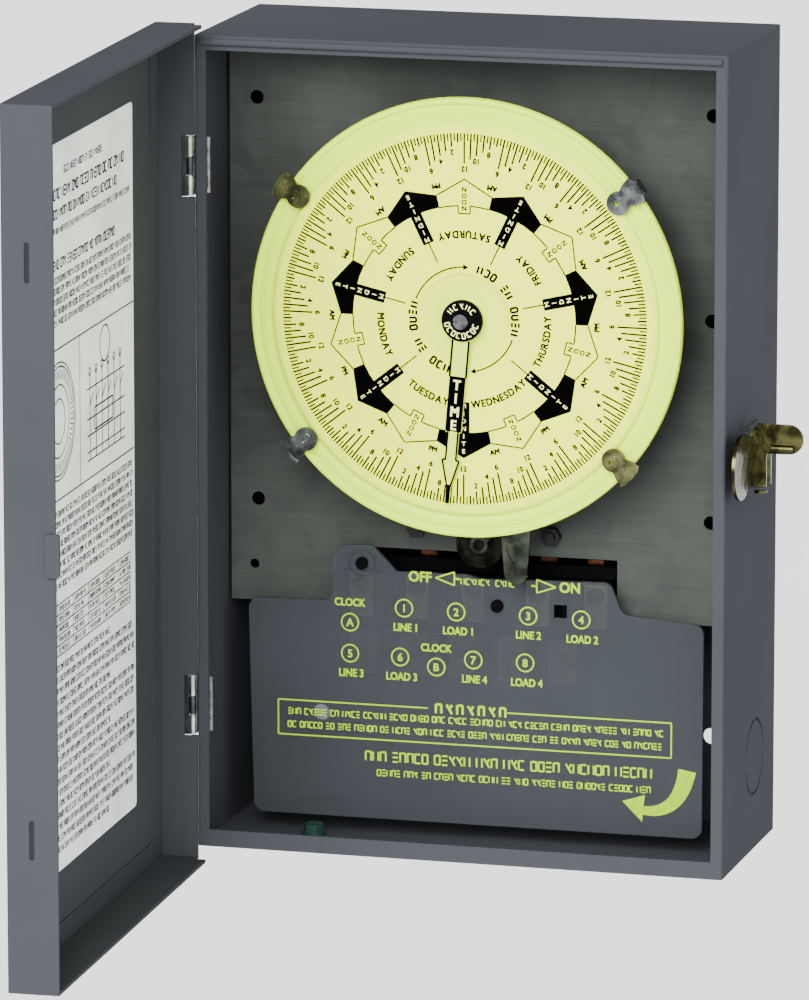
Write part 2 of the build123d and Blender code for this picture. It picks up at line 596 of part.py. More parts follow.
# ---- insulator ----
def make_insulator():
    with BuildPart() as sheet:
        with BuildSketch(front_plane(0, INSULATOR_FRONT + INSULATOR_T, 0)):
            with BuildLine():
                Polyline((-85.8, -143.8), (-87.8, -62.4), (-55.4, -61.6), (-55.4, -45.5), (-50.5, -40.4),
                         (-40, -39.8), (-30.5, -49.4), (-3.5, -49.0), (1.4, -50.3), (50.8, -49.0),
                         (55.6, -60.8), (86.3, -63.2), (86.1, -143.6), close=True)
            make_face()
        extrude(amount=INSULATOR_T)
        for low_x, high_x, radius in ((-88, -85, 4), (86, 87, 4), (-56, -38, 3), (50, 56, 4)):
            fillet(sheet.edges().filter_by(Axis.Y).filter_by_position(Axis.X, low_x, high_x), radius)
        for x, z in (POST_1, POST_2):
            rod_y(x, z, POST_R + 0.1, -60, -55, Mode.SUBTRACT)
        block(29.5, 34.5, -60, -55, -63.4, -58.4, Mode.SUBTRACT)
        # shallow ring and two dimples round the upper post
        with BuildSketch(front_plane(POST_1[0], INSULATOR_FRONT, POST_1[1])) as ring:
            Circle(5.2)
            Circle(4.6, mode=Mode.SUBTRACT)
            with Locations((-6.2, -2.6), (6.2, -2.6)):
                Circle(0.8)
        extrude(ring.sketch, amount=-0.5, mode=Mode.SUBTRACT)
    save(sheet, "insulator")

    with BuildPart() as posts:
        rod_y(*POST_1, POST_R, -59.2, PLATE_FRONT)
        rod_y(*POST_1, 3.6, -56.2, PLATE_FRONT)
        rod_y(*POST_2, POST_R, -59.2, -51.8)
        rod_y(*POST_2, 3.6, -56.2, -51.8)
    save(posts, "insulator_posts")


os.makedirs("parts", exist_ok=True)
make_case_body()
make_ground_screw()
make_hinges()
make_door()
make_hasp()
make_plate()
make_switch()
make_train()
make_dial()
for tripper_name, tripper_place in TRIPPERS.items():
    make_tripper(tripper_name, *tripper_place)
make_lever()
make_insulator()
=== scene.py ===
"""Looks of the enclosed seven-day time switch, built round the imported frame."""

import math
import random

import bpy
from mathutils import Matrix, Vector


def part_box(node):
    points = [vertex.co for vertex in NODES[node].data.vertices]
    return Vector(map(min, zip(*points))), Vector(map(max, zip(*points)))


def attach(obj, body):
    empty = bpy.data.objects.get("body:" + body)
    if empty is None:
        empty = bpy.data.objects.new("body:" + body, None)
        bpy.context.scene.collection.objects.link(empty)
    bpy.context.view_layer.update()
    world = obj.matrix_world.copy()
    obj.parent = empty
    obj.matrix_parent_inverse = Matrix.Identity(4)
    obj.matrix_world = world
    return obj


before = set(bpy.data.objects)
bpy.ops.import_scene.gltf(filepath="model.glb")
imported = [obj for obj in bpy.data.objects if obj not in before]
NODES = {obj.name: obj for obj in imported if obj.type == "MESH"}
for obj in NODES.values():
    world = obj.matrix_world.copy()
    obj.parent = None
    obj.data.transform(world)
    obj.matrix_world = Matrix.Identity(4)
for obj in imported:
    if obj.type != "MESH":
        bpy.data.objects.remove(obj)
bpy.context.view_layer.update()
random.seed(7)
MM = 0.001

# dial radius and height of its axle (mm), lower and upper edge of the mechanism plate (m)
R = 81.6
DIAL_Z = 50.0
PLATE_BOTTOM, PLATE_TOP = -0.065, 0.146

# ---------------------------------------------------------------- camera
CAMERA_AT = (0.77775, -2.95159, 0.58735)
YAW, PITCH = math.radians(-15.552), math.radians(-11.471)
LENS = 298.745

camera_data = bpy.data.cameras.new("camera")
camera_data.lens = LENS
camera_data.sensor_width = 36.0
camera_data.clip_end = 20.0
camera = bpy.data.objects.new("camera", camera_data)
bpy.context.scene.collection.objects.link(camera)
camera.location = CAMERA_AT
forward = Vector((math.sin(YAW) * math.cos(PITCH), math.cos(YAW) * math.cos(PITCH), math.sin(PITCH)))
camera.rotation_euler = forward.to_track_quat("-Z", "Y").to_euler()
bpy.context.scene.camera = camera


# ---------------------------------------------------------------- materials
def srgb(r, g, b):
    """8-bit display colour to linear RGBA."""
    out = []
    for c in (r, g, b):
        c = c / 255.0
        out.append(c / 12.92 if c <= 0.04045 else ((c + 0.055) / 1.055) ** 2.4)
    return (*out, 1.0)


class Nodes:
    """A small helper to build one procedural material."""

    def __init__(self, name):
        self.mat = bpy.data.materials.new(name)
        self.mat.use_nodes = True
        self.tree = self.mat.node_tree
        self.bsdf = self.tree.nodes["Principled BSDF"]
        self.coords = self.tree.nodes.new("ShaderNodeTexCoord").outputs["Object"]

    def node(self, kind, **inputs):
        n = self.tree.nodes.new(kind)
        for key, value in inputs.items():
            socket = n.inputs[key.replace("_", " ")]
            if hasattr(value, "links"):
                self.tree.links.new(value, socket)
            else:
                socket.default_value = value
        return n

    def noise(self, scale, detail=4.0, roughness=0.55, vector=None, stretch=None):
        vector = vector or self.coords
        if stretch:
            m = self.node("ShaderNodeMapping", Vector=vector)
            m.inputs["Scale"].default_value = stretch
            vector = m.outputs["Vector"]
        return self.node("ShaderNodeTexNoise", Vector=vector, Scale=scale, Detail=detail,
                         Roughness=roughness).outputs["Fac"]

    def ramp(self, fac, stops):
        n = self.node("ShaderNodeValToRGB", Fac=fac)
        ramp = n.color_ramp
        while len(ramp.elements) < len(stops):
            ramp.elements.new(0.5)
        for element, (position, colour) in zip(ramp.elements, stops):
            element.position = position
            element.color = colour
        return n.outputs["Color"]

    def mix(self, fac, a, b):
        n = self.tree.nodes.new("ShaderNodeMix")
        n.data_type = "RGBA"
        for socket, value in ((n.inputs[0], fac), (n.inputs[6], a), (n.inputs[7], b)):
            if hasattr(value, "links"):
                self.tree.links.new(value, socket)
            else:
                socket.default_value = value
        return n.outputs[2]

    def span(self, fac, low, high):
        n = self.node("ShaderNodeMapRange", Value=fac)
        n.inputs["From Min"].default_value = 0.3
        n.inputs["From Max"].default_value = 0.7
        n.inputs["To Min"].default_value = low
        n.inputs["To Max"].default_value = high
        return n.outputs["Result"]

    def bump(self, height, strength, distance):
        n = self.node("ShaderNodeBump", Height=height, Strength=strength, Distance=distance)
        self.tree.links.new(n.outputs["Normal"], self.bsdf.inputs["Normal"])

    def set(self, **values):
        for key, value in values.items():
            socket = self.bsdf.inputs[key.replace("_", " ")]
            if hasattr(value, "links"):
                self.tree.links.new(value, socket)
            else:
                socket.default_value = value
        return self


def grade(colour, k):
    return (colour[0] * k, colour[1] * k, colour[2] * k, 1.0)


def enamel(name, colour, rough=0.5):
    """Baked grey enamel: faint orange peel and a slow drift of tone."""
    m = Nodes(name)
    slow = m.noise(9.0, 3.0)
    fine = m.noise(900.0, 2.0)
    m.set(Base_Color=m.ramp(slow, [(0.3, grade(colour, 0.93)), (0.7, grade(colour, 1.06))]),
          Roughness=m.span(m.noise(60.0), rough - 0.05, rough + 0.07), Metallic=0.0,
          Specular_IOR_Level=0.0)
    m.bump(fine, 0.10, 0.0004)
    return m.mat


def zinc_sheet(name, dark, light, rough=0.46):
    """Hot-dipped sheet: soft clouds, faint spangle, rolling lines, and painted shade darker across the
    middle height.
    """
    m = Nodes(name)
    cloud = m.noise(14.0, 5.0, 0.6)
    spangle = m.node("ShaderNodeTexVoronoi", Vector=m.coords, Scale=130.0).outputs["Color"]
    spangle_value = m.node("ShaderNodeSeparateColor", Color=spangle).outputs["Red"]
    lines = m.noise(30.0, 3.0, stretch=(1.0, 1.0, 26.0))
    base = m.ramp(cloud, [(0.3, dark), (0.7, light)])
    # painted shade: the colour darkens across the middle height of the plate, between its lower and upper
    # edge
    height = m.node("ShaderNodeSeparateXYZ", Vector=m.coords).outputs["Z"]
    painted_shade_band = m.node("ShaderNodeMapRange", Value=height)
    painted_shade_band.inputs["From Min"].default_value, painted_shade_band.inputs["From Max"].default_value = PLATE_BOTTOM, PLATE_TOP
    shade = m.ramp(painted_shade_band.outputs["Result"], [(0.1, (0, 0, 0, 1)), (0.5, (0.75, 0.75, 0.75, 1)),
                                            (0.9, (0, 0, 0, 1))])
    base = m.mix(shade, base, grade(dark, 0.55))
    base = m.mix(0.16, base, m.ramp(spangle_value, [(0.0, grade(dark, 0.8)), (1.0, grade(light, 1.15))]))
    base = m.mix(0.15, base, m.ramp(lines, [(0.35, grade(dark, 0.85)), (0.65, light)]))
    m.set(Base_Color=base, Metallic=0.2, Specular_IOR_Level=0.0,
          Roughness=m.span(spangle_value, rough - 0.07, rough + 0.08))
    m.bump(cloud, 0.06, 0.0008)
    return m.mat


def plated(name, colour, rough=0.25, metallic=1.0, spread=0.12, contrast=0.35):
    """Plated metal: large soft light and dark patches painted in as reflections, and fine handling marks.
    """
    m = Nodes(name)
    marks = m.noise(420.0, 5.0, 0.65)
    patches = m.noise(190.0, 2.0, 0.5)
    # painted reflection: large light and dark patches in the colour stand in for reflections on the metal
    painted_reflection_patches = m.ramp(patches, [(0.36, grade(colour, 1 - contrast)), (0.64, grade(colour, 1 + contrast))])
    tone = m.mix(0.3, painted_reflection_patches, m.ramp(marks, [(0.3, grade(colour, 0.85)), (0.7, grade(colour, 1.1))]))
    m.set(Base_Color=tone, Metallic=metallic, Roughness=m.span(marks, rough - spread / 2, rough + spread))
    m.bump(patches, 0.5 * contrast, 0.0008)
    return m.mat


def plastic(name, colour, rough=0.45, specular=0.3):
    m = Nodes(name)
    grain = m.noise(700.0, 3.0)
    slow = m.noise(35.0, 3.0)
    m.set(Base_Color=m.ramp(slow, [(0.3, grade(colour, 0.86)), (0.7, grade(colour, 1.1))]),
          Roughness=m.span(grain, rough - 0.06, rough + 0.08), Metallic=0.0, Specular_IOR_Level=specular)
    m.bump(grain, 0.12, 0.0003)
    return m.mat


def ink(name, colour, rough=0.5):
    """Printed ink with slightly uneven cover."""
    m = Nodes(name)
    cover = m.noise(500.0, 3.0)
    m.set(Base_Color=m.ramp(cover, [(0.3, grade(colour, 0.85)), (0.7, grade(colour, 1.12))]),
          Roughness=m.span(cover, rough - 0.05, rough + 0.1), Metallic=0.0, Specular_IOR_Level=0.0)
    return m.mat


def dial_lacquer(name):
    """Yellow-green lacquer that turns greener towards the rim."""
    m = Nodes(name)
    split = m.node("ShaderNodeSeparateXYZ", Vector=m.coords)
    up = m.node("ShaderNodeMath", Value=split.outputs["Z"])
    up.operation = "SUBTRACT"
    up.inputs[1].default_value = DIAL_Z * MM
    flat = m.node("ShaderNodeCombineXYZ", X=split.outputs["X"], Y=up.outputs[0])
    length = m.tree.nodes.new("ShaderNodeVectorMath")
    length.operation = "LENGTH"
    m.tree.links.new(flat.outputs[0], length.inputs[0])
    reach = m.node("ShaderNodeMapRange", Value=length.outputs["Value"])
    reach.inputs["From Min"].default_value = 0.0
    reach.inputs["From Max"].default_value = R * MM
    face, rim = srgb(236, 253, 44), srgb(206, 242, 8)
    base = m.ramp(reach.outputs["Result"], [(0.0, srgb(222, 243, 46)), (0.19, srgb(224, 243, 48)),
                                            (0.24, face), (0.82, face), (0.9, rim), (1.0, rim)])
    drift = m.noise(20.0, 3.0)
    base = m.mix(0.08, base, m.ramp(drift, [(0.3, srgb(205, 222, 50)), (0.7, srgb(246, 248, 90))]))
    m.set(Base_Color=base, Roughness=m.span(m.noise(120.0), 0.26, 0.34), Metallic=0.0,
          Specular_IOR_Level=0.12)
    m.bump(m.noise(600.0, 2.0), 0.04, 0.0003)
    return m.mat


def smoked_sheet(name):
    """Translucent smoke plastic with a matt tooth."""
    m = Nodes(name)
    slow = m.noise(16.0, 3.0)
    base = m.ramp(slow, [(0.3, srgb(52, 56, 59)), (0.7, srgb(59, 63, 67))])
    m.set(Base_Color=base, Roughness=m.span(m.noise(240.0), 0.30, 0.40), Metallic=0.0,
          Specular_IOR_Level=0.04, Alpha=0.7)
    m.bump(m.noise(500.0, 2.0), 0.05, 0.0003)
    return m.mat


CASE = enamel("case_enamel", srgb(57, 59, 63))
ZINC = zinc_sheet("zinc_sheet", srgb(53, 57, 54), srgb(71, 75, 71))
STEEL = plated("bright_steel", srgb(186, 188, 186), 0.28)
DARK_STEEL = plated("black_oxide", srgb(16, 16, 17), 0.4, 0.6)
# the door hinge leaves are darkened as painted shade for the recess they sit in
HINGE_LEAF_PAINTED_SHADE = plated("hinge_leaf", srgb(66, 68, 70), 0.35)
# the high contrast values of the plated parts below make their painted reflections stronger
NICKEL = plated("nickel", srgb(90, 93, 93), 0.2, spread=0.06, contrast=0.85)
# the manual lever's nickel is darkened as painted shade for the shadow it lies in
NICKEL_PAINTED_SHADE = plated("nickel_painted_shade", srgb(52, 56, 48), 0.2, spread=0.06, contrast=0.8)
ROLLER = plated("roller_steel", srgb(18, 19, 15), 0.3, contrast=0.8)
OLIVE = plated("olive_brass", srgb(64, 63, 36), 0.22, spread=0.06, contrast=0.9)
OLIVE_DULL = plated("olive_brass_dull", srgb(86, 87, 56), 0.22, spread=0.06, contrast=0.85)
BRASS = plated("terminal_brass", srgb(170, 152, 98), 0.3)
COPPER = plated("contact_copper", srgb(92, 56, 40), 0.3)
IVORY = plastic("ivory_moulding", srgb(226, 226, 168), 0.5)
BLACK = plastic("black_moulding", srgb(5, 5, 6), 0.5, 0.02)
GREEN = plated("green_screw", srgb(30, 58, 50), 0.35, 0.3)
CARD = plastic("label_card", srgb(226, 232, 234), 0.6)
DIAL = dial_lacquer("dial_lacquer")
POINTER = plastic("pointer_lacquer", srgb(212, 240, 58), 0.3)
SMOKE = smoked_sheet("smoked_sheet")
INK_BLACK = ink("ink_black", srgb(3, 3, 2))
INK_LIME = ink("ink_lime", srgb(150, 190, 1), 0.45)
INK_GREY = ink("ink_grey", srgb(24, 26, 26))
INK_CREAM = ink("ink_cream", srgb(238, 243, 150))

FINISH = {
    "case_body": CASE, "door_pan": CASE, "door_catch_tab": CASE, "hasp_bracket": CASE, "hasp_rivets": CASE,
    "ground_screw": GREEN, "hinge_case_leaves": STEEL, "hinge_pins": STEEL, "hinge_door_leaves": HINGE_LEAF_PAINTED_SHADE,
    "hasp_pin": OLIVE, "hasp_lever": OLIVE, "hasp_spring": STEEL, "mechanism_plate": ZINC,
    "plate_posts": ZINC, "plate_screws": STEEL, "switch_screws": DARK_STEEL, "terminal_block": BLACK,
    "terminal_plates_upper": IVORY, "terminal_plates_lower": BRASS, "terminal_screws": BRASS,
    "fixed_contacts": COPPER, "moving_contacts": COPPER, "contact_carrier": IVORY, "motor_can": ZINC,
    "motor_coil": BLACK, "motor_pinion": BRASS, "day_wheel": BRASS, "day_wheel_spindle": STEEL,
    "dial_gear": BRASS, "dial_arbor": STEEL, "dial": DIAL, "time_pointer": POINTER, "hub_disc": BLACK,
    "hub_screw": NICKEL, "tripper_ul": OLIVE_DULL, "tripper_lr": OLIVE_DULL, "tripper_ur": NICKEL,
    "tripper_ll": NICKEL, "tripper_screw_ul": OLIVE_DULL, "tripper_screw_lr": OLIVE_DULL,
    "tripper_screw_ur": NICKEL, "tripper_screw_ll": NICKEL, "manual_lever": NICKEL_PAINTED_SHADE,
    "trip_roller": ROLLER, "lever_arbor": STEEL, "insulator": SMOKE, "insulator_posts": BLACK,
    "door_label": CARD,
}
for node_name, finish in FINISH.items():
    mesh = NODES[node_name].data
    mesh.materials.clear()
    mesh.materials.append(finish)


# ---------------------------------------------------------------- printing
GLYPHS = {}
CAP_HEIGHT = 0.73  # height of a capital in the built-in font, at size 1
COAT = 0.03        # thickness of one coat of ink, mm
COATS = 4


def glyph(text):
    """Outline of a text at height 1 as (points, polygons, width), cached."""
    if text not in GLYPHS:
        curve = bpy.data.curves.new("glyph", "FONT")
        curve.body = text
        curve.size = 1.0 / CAP_HEIGHT
        curve.resolution_u = 3
        holder = bpy.data.objects.new("glyph", curve)
        bpy.context.scene.collection.objects.link(holder)
        bpy.context.view_layer.update()
        shape = bpy.data.meshes.new_from_object(holder.evaluated_get(bpy.context.evaluated_depsgraph_get()))
        points = [(v.co.x, v.co.y) for v in shape.vertices]
        polygons = [tuple(p.vertices) for p in shape.polygons]
        low = min(p[0] for p in points)
        width = max(p[0] for p in points) - low
        points = [(x - low - width / 2, y - 0.5) for x, y in points]
        GLYPHS[text] = (points, polygons, width)
        bpy.data.objects.remove(holder)
        bpy.data.curves.remove(curve)
        bpy.data.meshes.remove(shape)
    return GLYPHS[text]


def polar(r, a):
    return (r * math.cos(math.radians(a)), r * math.sin(math.radians(a)))


def turned(at, up):
    """Maps a letter's own x and y to the page, its top towards the angle up."""
    turn = math.radians(up - 90)
    c, s = math.cos(turn), math.sin(turn)
    return lambda x, y: (at[0] + x * c - y * s, at[1] + x * s + y * c)


class Print:
    """Flat ink shapes in millimetres on one printed surface, gathered into one mesh."""

    def __init__(self):
        self.points, self.polygons, self.coat = [], [], 0

    def poly(self, corners):
        """One shape. Shapes made one after another lie on different coats."""
        start = len(self.points)
        self.coat = (self.coat + 1) % COATS
        self.points += [(u, v, self.coat * COAT) for u, v in corners]
        area = sum(a[0] * b[1] - b[0] * a[1] for a, b in zip(corners, corners[1:] + corners[:1]))
        order = list(range(start, start + len(corners)))
        self.polygons.append(order if area > 0 else order[::-1])

    def line(self, a, b, width):
        dx, dy = b[0] - a[0], b[1] - a[1]
        n = math.hypot(dx, dy)
        nx, ny = -dy / n * width / 2, dx / n * width / 2
        self.poly([(a[0] + nx, a[1] + ny), (a[0] - nx, a[1] - ny),
                   (b[0] - nx, b[1] - ny), (b[0] + nx, b[1] + ny)])

    def path(self, corners, width, closed=False):
        pairs = list(zip(corners, corners[1:]))
        if closed:
            pairs.append((corners[-1], corners[0]))
        for a, b in pairs:
            self.line(a, b, width)

    def arc(self, r, start, end, width, centre=(0, 0), steps=None):
        steps = steps or max(6, int(abs(end - start) / 4))
        for i in range(steps):
            a = math.radians(start + (end - start) * i / steps)
            b = math.radians(start + (end - start) * (i + 1) / steps)
            ring = []
            inner, outer = r - width / 2, r + width / 2
            for radius, angle in ((inner, a), (outer, a), (outer, b), (inner, b)):
                ring.append((centre[0] + radius * math.cos(angle), centre[1] + radius * math.sin(angle)))
            self.poly(ring)

    def text(self, text, at, height, up=90.0, bold=0.0, squeeze=1.0):
        """Text centred on a point, its upward direction at an angle, doubled up when bold."""
        points, polygons, _ = glyph(text)
        to_page = turned(at, up)
        shifts = [(0, 0)] if not bold else [(-bold, -bold), (bold, -bold), (-bold, bold), (bold, bold)]
        for coat, (sx, sy) in enumerate(shifts):
            start = len(self.points)
            for x, y in points:
                self.points.append((*to_page(x * height * squeeze + sx, y * height + sy), coat * COAT))
            self.polygons += [[start + i for i in p] for p in polygons]

    def arc_text(self, text, r, middle, height, gap, bold=0.0, squeeze=1.0):
        """Letters along a circle with their tops towards the centre, spaced by their own widths."""
        widths = [glyph(letter)[2] * height * squeeze for letter in text]
        reach = -(sum(widths) + gap * (len(text) - 1)) / 2
        for letter, width in zip(text, widths):
            a = middle + math.degrees((reach + width / 2) / r)
            self.text(letter, polar(r, a), height, a + 180, bold, squeeze)
            reach += width + gap

    def mark(self, at, height, up, kind, stroke):
        """One meaningless mark the size of a letter."""
        w, h = 0.3 * height, 0.5 * height
        shapes = (
            ([(-w, -h), (w, -h), (w, h), (-w, h), (-w, -h)],),
            ([(-w, h), (-w, -h)], [(w, h), (w, -h)]),
            ([(-w, -h), (-w, h), (w, h), (w, -h)],),
            ([(w, h), (-w, h), (-w, -h), (w, -h)],),
            ([(-w, h), (w, h)], [(-w, -h), (w, -h)], [(-w, 0), (w, 0)]),
            ([(-w, h), (w, -h)], [(0, 0), (w, h)]),
        )
        to_page = turned(at, up)
        for run in shapes[kind % len(shapes)]:
            self.path([to_page(x, y) for x, y in run], stroke)

    def build(self, name, place, material, body):
        mesh = bpy.data.meshes.new(name)
        mesh.from_pydata([place(*p) for p in self.points], [], self.polygons)
        mesh.materials.append(material)
        mesh.update()
        piece = bpy.data.objects.new(name, mesh)
        bpy.context.scene.collection.objects.link(piece)
        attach(piece, body)
        return piece


# ---------------------------------------------------------------- dial print
FACE_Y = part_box("dial")[0][1] * 1000


def on_front(y, x0=0.0, z0=0.0):
    """Places flat print on a plane that faces the viewer."""
    return lambda u, v, d: ((x0 + u) * MM, (y - d) * MM, (z0 + v) * MM)


def spot(facing, r, t):
    """Point r dial radii out along a direction and t mm to its left."""
    c, s = math.cos(math.radians(facing)), math.sin(math.radians(facing))
    return (r * R * c - t * s, r * R * s + t * c)


# radii of the printed rings, as fractions of the dial's
TICKS_AT, TICK_SHORT, TICK_STEP, NUMBER_GAP = 0.842, 0.022, 0.019, 0.026
PEAK_AT, NIGHT_PEAK_AT, EAVES_AT, SILL_AT = 0.635, 0.632, 0.572, 0.515
AM_PM_AT, DAYS_AT, TURN_AT = 0.612, 0.385, 0.238
OUTLINE = 0.46
black = Print()
light = Print()
HOUR = 360.0 / 168
for half in range(336):
    angle = 90 + half * HOUR / 2
    hour = half / 2
    if half % 2:
        length, width = 0.034 * R, 0.5
    else:
        phase = (hour - 1) % 6 + 1
        reach = TICK_SHORT + TICK_STEP * phase
        length, width = reach * R, 0.6
        of_day = int(hour) % 12
        if of_day % 2 == 0:
            label = str(of_day or 12)
            r = (TICKS_AT - reach - NUMBER_GAP) * R
            black.text(label, polar(r, angle), 2.05, angle + 180, 0.1, 0.95)
    black.line(polar(TICKS_AT * R, angle), polar(TICKS_AT * R - length, angle), width)

SEG = 360.0 / 28
DAYS = ("SATURDAY", "SUNDAY", "MONDAY", "TUESDAY", "WEDNESDAY", "THURSDAY", "FRIDAY")
for i, day in enumerate(DAYS):
    noon = 90 + i * 360 / 7
    black.arc_text(day, DAYS_AT * R, noon, 2.75, 0.55, 0.12, 0.9)
    black.text("PM", polar(AM_PM_AT * R, noon + 12.2), 1.9, noon + 12.2 + 180, 0.13)
    black.text("AM", polar(AM_PM_AT * R, noon - 12.2), 1.9, noon - 12.2 + 180, 0.13)
    # open house that marks noon
    black.path([polar(EAVES_AT * R, noon - SEG), polar(PEAK_AT * R, noon), polar(EAVES_AT * R, noon + SEG)],
               OUTLINE)
    black.arc(SILL_AT * R, noon - SEG, noon - 3.1, OUTLINE)
    black.arc(SILL_AT * R, noon + 3.1, noon + SEG, OUTLINE)
    black.path([spot(noon, 0.513, -2.25), spot(noon, 0.48, -2.25),
                spot(noon, 0.48, 2.25), spot(noon, 0.513, 2.25)], OUTLINE)
    for k, letter in enumerate("NOON"):
        black.text(letter, spot(noon, 0.588 - 0.0285 * k, 0), 1.75, noon + 180, 0.07, 1.0)
    # solid house that marks midnight
    night = noon + 180 / 7
    ring = [polar(SILL_AT * R, night + a) for a in (SEG, SEG / 2, 0, -SEG / 2, -SEG)]
    black.poly([polar(EAVES_AT * R, night - SEG), polar(NIGHT_PEAK_AT * R, night),
                polar(EAVES_AT * R, night + SEG)] + ring)
    black.poly([spot(night, 0.52, -2.15), spot(night, 0.52, 2.15),
                spot(night, 0.375, 2.15), spot(night, 0.375, -2.15)])
    black.line(spot(night, 0.375, 0), spot(night, 0.28, 0), OUTLINE)
    for k, letter in enumerate("MIDNITE"):
        light.text(letter, spot(night, 0.392 + 0.0345 * k, 0), 1.7, night + 180, 0.04, 1.05)

# two curved arrows and two rows of meaningless marks on one ring round the hub
for first, last in ((159.0, 90.0), (-20.0, -78.0)):
    black.arc(TURN_AT * R, first, last, 0.5)
    tip = last - 5
    black.poly([polar(TURN_AT * R, tip), polar(0.225 * R, last + 1), polar(0.251 * R, last + 1)])
for middle in (30.0, 208.0):
    for k in range(11):
        if k not in (4, 7):
            a = middle + (k - 5) * 8.4
            black.mark(polar(TURN_AT * R, a), 2.6, a + 180, (3 * k + 1) % 5, 0.8)

black.build("dial_print", on_front(FACE_Y - 0.06, 0, DIAL_Z), INK_BLACK, "dial_wheel")
light.build("dial_print_light", on_front(FACE_Y - 0.19, 0, DIAL_Z), INK_CREAM, "dial_wheel")

# ---------------------------------------------------------------- pointer print
POINT_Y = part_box("time_pointer")[0][1] * 1000
AIM = 265.1


def on_pointer(y):
    c, s = math.cos(math.radians(AIM)), math.sin(math.radians(AIM))
    return lambda u, v, d: ((u * c - v * s) * MM, (y - d) * MM, (DIAL_Z + u * s + v * c) * MM)


line = Print()
for side in (-1, 1):
    line.line((7.5, side * 3.08), (21.2, side * 3.08), 0.8)
    line.line((41.4, side * 1.92), (52.1, side * 1.92), 0.7)
    line.path([(52.2, side * 1.8), (52.3, side * 3.2), (62.3, side * 0.6)], 0.7)
line.poly([(21.0, -3.05), (41.6, -3.05), (41.6, 3.05), (21.0, 3.05)])
line.poly([(61.5, -0.85), (68.5, -0.75), (68.5, 0.75), (61.5, 0.85)])
line.build("pointer_print", on_pointer(POINT_Y - 0.05), INK_BLACK, "case")
word = Print()
for k, letter in enumerate("TIME"):
    word.text(letter, (24.0 + 5.0 * k, 0), 3.7, 180, 0.16, 0.9)
word.build("pointer_word", on_pointer(POINT_Y - 0.18), INK_CREAM, "case")

hub = Print()
for k in range(5):
    hub.mark(polar(5.5, 140 - 25 * k), 1.9, 140 - 25 * k, 2 * k + 1, 0.4)
for k in range(8):
    hub.mark(polar(5.5, 195 + 21 * k), 1.9, 375 + 21 * k, 3 * k, 0.4)
hub.build("hub_marks", on_front(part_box("hub_disc")[0][1] * 1000 - 0.05, 0, DIAL_Z), INK_CREAM, "case")

# ---------------------------------------------------------------- insulator print
COVER_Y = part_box("insulator")[0][1] * 1000
lime = Print()
TERMINALS = {"A": (-48.5, -69.5), "1": (-27.7, -63.0), "2": (-7.7, -63.3), "3": (19.8, -63.2),
             "4": (40.0, -63.5), "5": (-48.5, -81.3), "6": (-29.2, -81.6), "B": (-15.3, -84.6),
             "7": (-1.1, -81.1), "8": (18.7, -81.0)}
for mark, (x, z) in TERMINALS.items():
    lime.arc(3.25, 0, 360, 0.55, (x, z), 40)
    lime.text(mark, (x, z), 3.0, 90, 0.1)
for x, z, words in ((-48.5, -61.8, "CLOCK"), (-15.3, -77.3, "CLOCK"), (-27.2, -70.2, "LINE 1"),
                    (-7.0, -70.4, "LOAD 1"), (20.0, -70.4, "LINE 2"), (40.5, -70.8, "LOAD 2"),
                    (-48.0, -88.6, "LINE 3"), (-28.6, -88.9, "LOAD 3"), (-0.6, -88.3, "LINE 4"),
                    (19.4, -88.4, "LOAD 4")):
    lime.text(words, (x, z), 2.95, 90, 0.12, 0.86)
lime.text("OFF", (-21.5, -50.6), 3.9, 90, 0.16, 0.95)
lime.text("ON", (35.6, -51.6), 3.9, 90, 0.16, 0.95)
for side, x, z in ((-1, -15.6, -50.8), (1, 30.3, -51.8)):
    lime.path([(x, z), (x - side * 7.2, z + 2.5), (x - side * 7.2, z - 2.5)], 0.6, True)
    lime.line((x - side * 7.2, z), (x - side * 9.4, z), 0.8)
for k in range(11):
    if k != 6:
        lime.mark((-5.2 + 1.9 * k, -51.6), 2.1, 90, 2 * k + 1, 0.5)


def greek(page, left, right, z, height, rng, stroke=0.2):
    """A row of meaningless marks grouped like words."""
    x = left
    while x < right - 1.5:
        word_end = min(right, x + rng.uniform(2.2, 7.5) * height / 1.6)
        while x < word_end - 0.3 * height:
            page.mark((x + 0.3 * height, z), height, 90, rng.randrange(6), height * stroke)
            x += height * 0.84
        x += height * 0.55


rng = random.Random(3)
BOX_LEFT, BOX_RIGHT, BOX_LOW, BOX_HIGH = -76.3, 74.4, -113.6, -100.4
lime.path([(-18.5, BOX_HIGH), (BOX_LEFT, BOX_HIGH), (BOX_LEFT, BOX_LOW),
           (BOX_RIGHT, BOX_LOW), (BOX_RIGHT, BOX_HIGH), (12.0, BOX_HIGH)], 0.55)
for k in range(7):
    lime.mark((-14.4 + 4.1 * k, BOX_HIGH), 3.4, 90, 3 * k + 2, 0.9)
greek(lime, -72.5, 71.0, -104.6, 2.1, rng, 0.24)
greek(lime, -72.5, 71.0, -109.6, 2.1, rng, 0.24)
greek(lime, -42.5, 67.5, -120.0, 3.4, rng, 0.2)
greek(lime, -38.0, 67.5, -126.2, 2.2, rng, 0.22)


